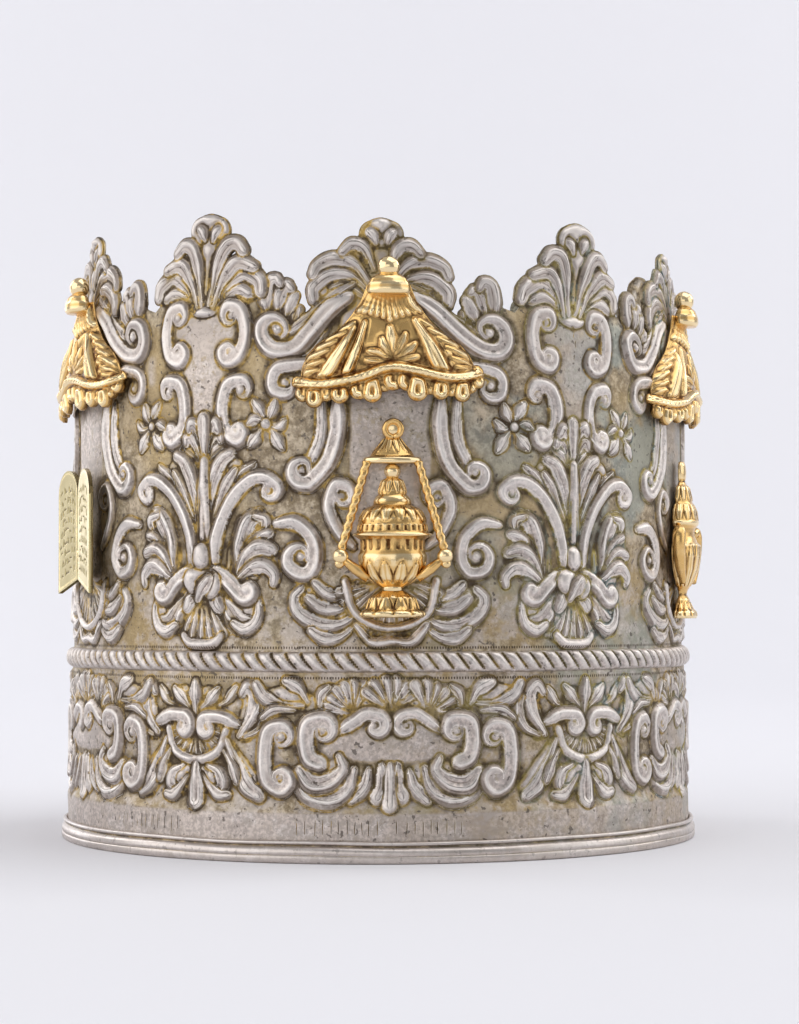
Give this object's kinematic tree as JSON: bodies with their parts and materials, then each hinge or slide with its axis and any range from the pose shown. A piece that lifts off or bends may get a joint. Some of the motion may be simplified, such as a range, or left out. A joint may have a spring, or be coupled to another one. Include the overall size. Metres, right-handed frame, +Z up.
{
  "type": "torah crown",
  "caption": "Open silver torah crown with a chased scrollwork wall, cut-out leaf crest and moulded foot, set with gilt canopies over gilt temple emblems.",
  "frame": {"origin": "on the crown's axis, at the underside of the foot", "axes": "+Z up the crown's axis, -Y towards the front panel with the hanging censer"},
  "size_m": [0.2008, 0.2028, 0.1862],
  "materials": {
    "chased_silver": "chased silver, bright on the raised work, olive-brown tarnish in the matted ground",
    "foot_silver": "smooth polished silver with light tarnish in its grooves",
    "gilt": "fire-gilt silver, burnished on the high points, brown in the recesses"
  },
  "bodies": {
    "root": {"crown_wall": "chased_silver", "foot_moulding": "foot_silver", "canopy_front": "gilt", "canopy_right": "gilt", "canopy_back_right": "gilt", "canopy_back_left": "gilt", "canopy_left": "gilt", "censer": "gilt", "laver": "gilt", "lampstand": "gilt", "priest_turban": "gilt", "law_tablets": "gilt"}
  },
  "joints": []
}
